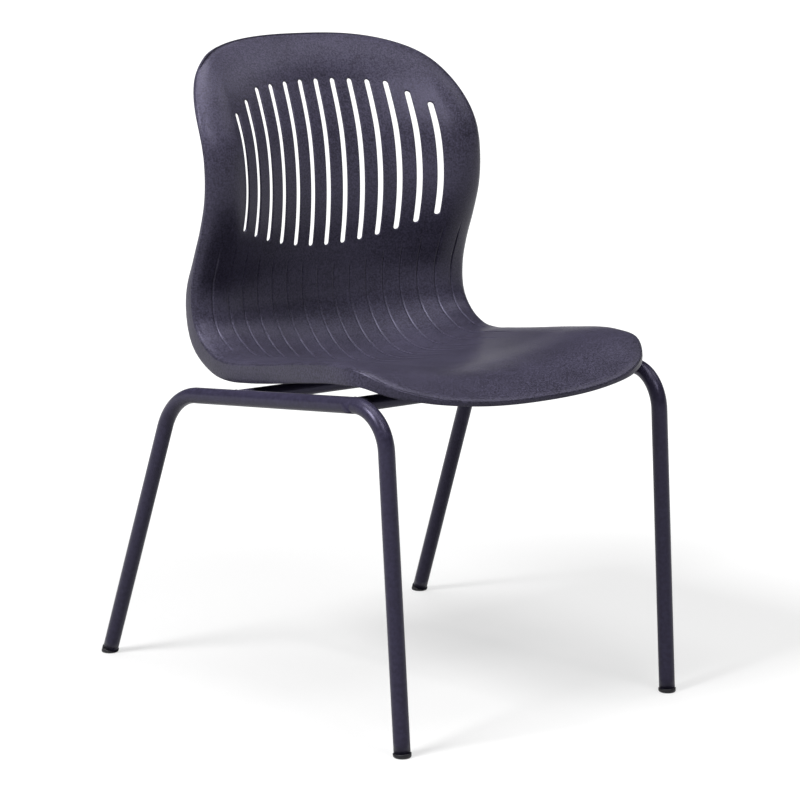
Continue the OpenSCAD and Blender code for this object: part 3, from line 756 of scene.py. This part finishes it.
def in_side(points, side):
    """Points of a side frame's plane, given as u, v and w, turned by the toe and moved out to one side."""
    u, v, w = np.moveaxis(np.asarray(points, float), -1, 0)
    x = SIDE_X + u * math.sin(TOE) + w * math.cos(TOE)
    return np.stack([side * x, u * math.cos(TOE) - w * math.sin(TOE), v], axis=-1)


def tube_faces(rings, around):
    """Faces of a run of rings, outwards, with one face over each end."""
    n = np.arange(rings * around).reshape(rings, around)
    m = np.roll(n, -1, axis=1)
    return quads(n[:-1], m[:-1], m[1:], n[1:]).tolist() + [n[0, ::-1].tolist(), n[-1].tolist()]


def facing(polygons, side):
    """The polygons, turned round for the mirrored side."""
    return polygons if side > 0 else [polygon[::-1] for polygon in polygons]


def side_path():
    """Centre line of a side frame, its angles and how much it is flattened: straight runs and two arcs."""
    turn_front = math.pi / 2 - LEAN_FRONT - RAIL_ANGLE
    turn_rear = math.pi / 2 - RAKE_REAR + RAIL_ANGLE
    parts, angles, flats = [], [], []
    last = end_front
    for corner, into, angle, turn, r in (
        (knee_front, up_front, math.pi / 2 - LEAN_FRONT, turn_front, BEND_R_FRONT),
        (knee_rear, along_rail, RAIL_ANGLE, turn_rear, BEND_R_REAR),
    ):
        start = corner - into * r * math.tan(turn / 2)
        centre = start + r * np.array([into[1], -into[0]])
        run, f = share(RUN_STEPS)[:-1], share(BEND_STEPS)
        a = angle - turn * f
        parts += [mix(last, start, run[:, None]), centre + r * np.stack([-np.sin(a), np.cos(a)], axis=-1)]
        angles += [angle + 0 * run, a]
        flats += [0 * run, FLAT * np.sin(np.pi * f) ** FLAT_POWER]
        last = parts[-1][-1]
    run = share(RUN_STEPS)[1:]
    parts.append(mix(last, end_rear, run[:, None]))
    angles.append(RAKE_REAR - math.pi / 2 + 0 * run)
    flats.append(0 * run)
    return np.vstack(parts), np.concatenate(angles), np.concatenate(flats)


# Side tubes: circles carried along the path, and flattened in the bends
path, path_a, path_flat = side_path()
phi = 2 * np.pi * np.arange(AROUND) / AROUND
across = np.stack([-np.sin(path_a), np.cos(path_a)], axis=-1)
in_plane = TUBE_R * (1 - path_flat)[:, None] * np.cos(phi)
off_plane = TUBE_R * (1 + FLAT_SPREAD * path_flat)[:, None] * np.sin(phi)
in_plane = path[:, None] + in_plane[..., None] * across[:, None]
rings = np.concatenate([in_plane, off_plane[..., None]], axis=-1)
for hand, side in SIDES:
    points = in_side(rings, side).reshape(-1, 3)
    polygons = facing(tube_faces(len(path), AROUND), side)
    piece(f"side_tube_{hand}", points, polygons, paint, [f"side_frame_{hand}"])


# Cross rails and their welds
def tube_meets(y, z, r):
    """Distance from the middle at which a line along X at y and z meets the side tube of radius r.

    The distance solves a quadratic: what the line's point keeps off the tube's own line is r long."""
    start = in_side([*knee_front, 0], 1)
    run = unit(in_side([*knee_rear, 0], 1) - start)
    step = np.array([1.0, 0, 0]) - run[0] * run
    off = np.stack([0 * y - start[0], y - start[1], z - start[2]], axis=-1)
    off = off - (off @ run)[..., None] * run
    a, b, c = step @ step, 2 * off @ step, np.sum(off * off, axis=-1) - r * r
    return (-b - np.sqrt(np.maximum(0, b * b - 4 * a * c))) / (2 * a)


def ring_faces(rings, around):
    """Faces of a run of rings that closes on itself."""
    n = np.arange(rings * around).reshape(rings, around)
    m = np.roll(n, -1, 0)
    return quads(n, m, np.roll(m, -1, 1), np.roll(n, -1, 1)).tolist()


bead_phi = 2 * np.pi * np.arange(BEAD_AROUND) / BEAD_AROUND
bead_size = BEAD_R * (1 + RIPPLE_SHARE * np.sin(RIPPLES * phi))[:, None]
for place, y, z, _ in RAILS:
    rail_y, rail_z = y + RAIL_R * np.cos(phi), z + RAIL_R * np.sin(phi)
    reach = tube_meets(rail_y, rail_z, TUBE_R)
    f = np.linspace(-1, 1, RUN_STEPS)[:, None]
    rail = np.stack([f * reach, rail_y + 0 * f, rail_z + 0 * f], axis=-1).reshape(-1, 3)
    polygons = tube_faces(RUN_STEPS, AROUND)
    piece(f"rail_{place}", rail, polygons, paint, [f"cross_rail_{place}"])
    out = RAIL_R - BEAD_IN_RAIL + bead_size * np.cos(bead_phi)
    deep = reach[:, None] - BEAD_IN_TUBE + bead_size * np.sin(bead_phi)
    bead_y, bead_z = y + out * np.cos(phi)[:, None], z + out * np.sin(phi)[:, None]
    for hand, side in SIDES:
        bead = np.stack([side * deep, bead_y, bead_z], axis=-1).reshape(-1, 3)
        polygons = facing(ring_faces(AROUND, BEAD_AROUND), side)
        piece(f"weld_{place}_{hand}", bead, polygons, paint)


# Glides
def glide_cap(end, up):
    """Cap of a glide in the side's plane: a wall down to the floor, a rounded edge and a flat sole.

    Each ring has a radius, a depth along the leg and the share of the way to the floor that adds to it."""
    out = np.array([up[1], -up[0]])
    r = GLIDE_D / 2
    steps = [(TUBE_R - GLIDE_BEVEL, 0, 0), (r - GLIDE_BEVEL, 0, 0), (r, GLIDE_BEVEL, 0), (r, 0, 0.5)]
    for a in GLIDE_ANGLES:
        steps.append((r - GLIDE_EDGE_R * (1 - math.cos(a)), -GLIDE_EDGE_R * (1 - math.sin(a)), 1))
    steps.append((r / 2, 0, 1))
    radius, low, f = np.array(steps).T[..., None]
    floor = (end[1] + radius * np.cos(phi) * out[1]) / up[1]
    deep = low + f * floor
    flat = end + (radius * np.cos(phi))[..., None] * out - deep[..., None] * up
    points = np.concatenate([flat, (radius * np.sin(phi))[..., None]], axis=-1)
    return points.reshape(-1, 3), len(steps)


for place, end, up in (("front", end_front, up_front), ("rear", end_rear, up_rear)):
    points, count = glide_cap(end, up)
    for hand, side in SIDES:
        polygons = facing(tube_faces(count, AROUND), side)
        nodes = [f"glide_{place}_{hand}"]
        piece(f"glide_cap_{place}_{hand}", in_side(points, side), polygons, nylon, nodes)


# Bosses and screws
def lathe(profile, at):
    """Points and faces of a profile of radius and height, turned about a vertical axis at a point."""
    a = 2 * np.pi * np.arange(LATHE_STEPS) / LATHE_STEPS
    radius, height = np.array(profile, float).T[..., None]
    x, y, z = at[0] + radius * np.cos(a), at[1] + radius * np.sin(a), at[2] + height + 0 * a
    return np.stack([x, y, z], axis=-1).reshape(-1, 3), tube_faces(len(profile), LATHE_STEPS)


def boss_profile(rise):
    """Side of a boss, from its saddle on the rail up to its flare into the shell."""
    r = BOSS_D / 2
    foot = [(r - BOSS_SADDLE[0], -BOSS_SADDLE[1]), (r - BOSS_BEVEL[0], 0), (r, BOSS_BEVEL[1])]
    return foot + [(r, rise - BOSS_FLARE[1]), (r + BOSS_FLARE[0], rise + BOSS_ROOT)]


def screw_profile():
    """Side of a screw's head, from its recess round the crown up to the rail's wall."""
    r, h = SCREW_HEAD_D / 2, SCREW_HEAD_H
    recess = [(radius, depth - h) for radius, depth in SCREW_RECESS]
    return recess + [(r - inset, depth - h) for inset, depth in SCREW_CROWN] + [(r, 0)]


SEAT_OF_HEAD = math.sqrt((RAIL_R - TUBE_T) ** 2 - (SCREW_HEAD_D / 2) ** 2) - SEAT_GAP
for place, y, z, rise in RAILS:
    for hand, side in SIDES:
        points, polygons = lathe(boss_profile(rise), (side * BOSS_X, y, z + RAIL_R))
        piece(f"boss_{place}_{hand}", points, polygons, plastic)
        points, polygons = lathe(screw_profile(), (side * BOSS_X, y, z + SEAT_OF_HEAD))
        nodes = ["shell_screws"] if (place, hand) == ("front", "left") else []
        piece(f"screw_{place}_{hand}", points, polygons, zinc, nodes)


# Studio
FLOOR_HALF = 30000  # half the width of the floor
FLOOR_LIFT = 0.4  # share of plain white near the object
FLOOR_NEAR, FLOOR_FAR = 0.55, 1.2  # distances in metres between which the floor turns to plain white
FLOOR_GLOW = 0.2  # white that the camera alone sees on top
FLOOR_GRAIN = 5
WORLD_FILL = 0.01  # light from all round
WALL_FROM, WALL_TO = 0.05, 0.22  # heights of the direction between which the white wall ends


def shown_white(tree):
    """1 for the camera's rays and for what gloss or glass shows, and 0 for the light on the object."""
    ray = node(tree, "ShaderNodeLightPath").outputs
    shown = ray["Is Camera Ray"]
    for kind in ("Is Glossy Ray", "Is Transmission Ray"):
        larger = node(tree, "ShaderNodeMath", {"operation": "MAXIMUM"}, links={0: shown, 1: ray[kind]})
        shown = larger.outputs[0]
    return shown


def floor_material():
    """Matt white floor: it keeps the object's shadow, and turns to plain white away from the object."""
    made = bpy.data.materials.new("studio_floor")
    tree = empty_tree(made)
    place = node(tree, "ShaderNodeTexCoord").outputs["Object"]
    far = node(tree, "ShaderNodeVectorMath", {"operation": "LENGTH"}, links={0: place})
    fade = node(
        tree,
        "ShaderNodeMapRange",
        {"interpolation_type": "SMOOTHSTEP"},
        {"From Min": FLOOR_NEAR, "From Max": FLOOR_FAR, "To Min": FLOOR_LIFT, "To Max": 1.0},
        {"Value": far.outputs["Value"]},
    )
    lift = node(
        tree,
        "ShaderNodeMath",
        {"operation": "MULTIPLY"},
        links={0: fade.outputs["Result"], 1: shown_white(tree)},
    )
    speck = node(tree, "ShaderNodeTexNoise", values={"Scale": 1000 / FLOOR_GRAIN}, links={"Vector": place})
    tone = node(
        tree,
        "ShaderNodeMix",
        {"data_type": "RGBA"},
        {"A": linear("#d6d6d6"), "B": linear("#d3d3d3")},
        {"Factor": speck.outputs["Fac"]},
    )
    # The light that the floor gives back to the object is that of a grey studio floor
    tone = node(
        tree,
        "ShaderNodeMix",
        {"data_type": "RGBA"},
        {"A": linear("#7d7d7d")},
        {"Factor": shown_white(tree), "B": tone.outputs["Result"]},
    )
    matt = node(tree, "ShaderNodeBsdfDiffuse", links={"Color": tone.outputs["Result"]})
    white = node(tree, "ShaderNodeEmission", values={"Color": (1, 1, 1, 1), "Strength": 1.0})
    pale = node(
        tree,
        "ShaderNodeMixShader",
        links={0: lift.outputs[0], 1: matt.outputs[0], 2: white.outputs[0]},
    )
    # The camera alone sees a little more white, so that the shadow is as pale as in the photograph
    seen = node(tree, "ShaderNodeLightPath").outputs["Is Camera Ray"]
    seen = node(tree, "ShaderNodeMath", {"operation": "MULTIPLY"}, {1: FLOOR_GLOW}, {0: seen})
    glow = node(
        tree,
        "ShaderNodeEmission",
        values={"Color": (1, 1, 1, 1)},
        links={"Strength": seen.outputs[0]},
    )
    both = node(tree, "ShaderNodeAddShader", links={0: pale.outputs[0], 1: glow.outputs[0]})
    node(tree, "ShaderNodeOutputMaterial", links={"Surface": both.outputs[0]})
    return made


corners = [[x * FLOOR_HALF, y * FLOOR_HALF, 0] for x, y in ((-1, -1), (1, -1), (1, 1), (-1, 1))]
mesh_object("floor", corners, [[0, 1, 2, 3]], floor_material())


def lamp(name, at, aim, size, power):
    """Soft rectangular light at one point, facing another."""
    data = bpy.data.lights.new(name, "AREA")
    data.shape = "RECTANGLE"
    data.size, data.size_y = size
    data.energy = power
    made = bpy.data.objects.new(name, data)
    bpy.context.scene.collection.objects.link(made)
    made.location = at
    toward = np.array(aim, float) - np.array(at, float)
    flat = math.hypot(toward[0], toward[1])
    tilt, turn = math.atan2(flat, -toward[2]), math.atan2(toward[1], toward[0]) - math.pi / 2
    made.rotation_euler = (tilt, 0, turn)


# Places and sizes in metres, and powers in watts
lamp("overhead_softbox", at=(0.0, 0.0, 2.7), aim=(0, 0, 0.4), size=(1.6, 1.6), power=32)
lamp("front_softbox", at=(0.0, -1.6, 2.4), aim=(0, 0, 0.5), size=(1.0, 0.8), power=18)
lamp("left_softbox", at=(-1.7, -0.2, 2.2), aim=(0, 0, 0.5), size=(0.7, 0.7), power=64)
lamp("right_softbox", at=(1.6, -0.4, 2.2), aim=(0, 0, 0.5), size=(1.0, 1.0), power=6)


def studio_world():
    """White for the camera. What gloss shows is a low white wall all round, with a dim room above it."""
    world = bpy.data.worlds.new("studio")
    bpy.context.scene.world = world
    tree = empty_tree(world)
    place = node(tree, "ShaderNodeTexCoord").outputs["Generated"]
    up = node(tree, "ShaderNodeSeparateXYZ", links={0: place}).outputs["Z"]
    wall = node(
        tree,
        "ShaderNodeMapRange",
        {"interpolation_type": "SMOOTHSTEP"},
        {"From Min": WALL_FROM, "From Max": WALL_TO, "To Min": 1.0, "To Max": 0.0},
        {"Value": up},
    ).outputs["Result"]
    seen = node(tree, "ShaderNodeLightPath").outputs["Is Camera Ray"]
    shown = node(tree, "ShaderNodeMath", {"operation": "MULTIPLY"}, links={0: shown_white(tree), 1: wall})
    shown = node(tree, "ShaderNodeMath", {"operation": "MAXIMUM"}, links={0: shown.outputs[0], 1: seen})
    shown = node(tree, "ShaderNodeMath", {"operation": "MAXIMUM"}, {1: WORLD_FILL}, {0: shown.outputs[0]})
    sky = node(
        tree,
        "ShaderNodeBackground",
        values={"Color": (1, 1, 1, 1)},
        links={"Strength": shown.outputs[0]},
    )
    node(tree, "ShaderNodeOutputWorld", links={"Surface": sky.outputs[0]})


studio_world()

# The photograph's camera, in metres and degrees, solved from the four feet and the frame's symmetry
EYE_PLACE = (-1.92483, -2.54473, 0.97009)
EYE_DOWN, EYE_TURN = 10.946, -37.186
EYE_LENS, EYE_SENSOR = 115.14, 36
eye = bpy.data.cameras.new("photo_camera")
eye.lens, eye.sensor_width = EYE_LENS, EYE_SENSOR
eye.clip_start, eye.clip_end = 0.1, 100
camera = bpy.data.objects.new("photo_camera", eye)
bpy.context.scene.collection.objects.link(camera)
camera.location = EYE_PLACE
camera.rotation_euler = (math.radians(90 - EYE_DOWN), 0, math.radians(EYE_TURN))
bpy.context.scene.camera = camera
bpy.context.scene.view_settings.view_transform = "Standard"
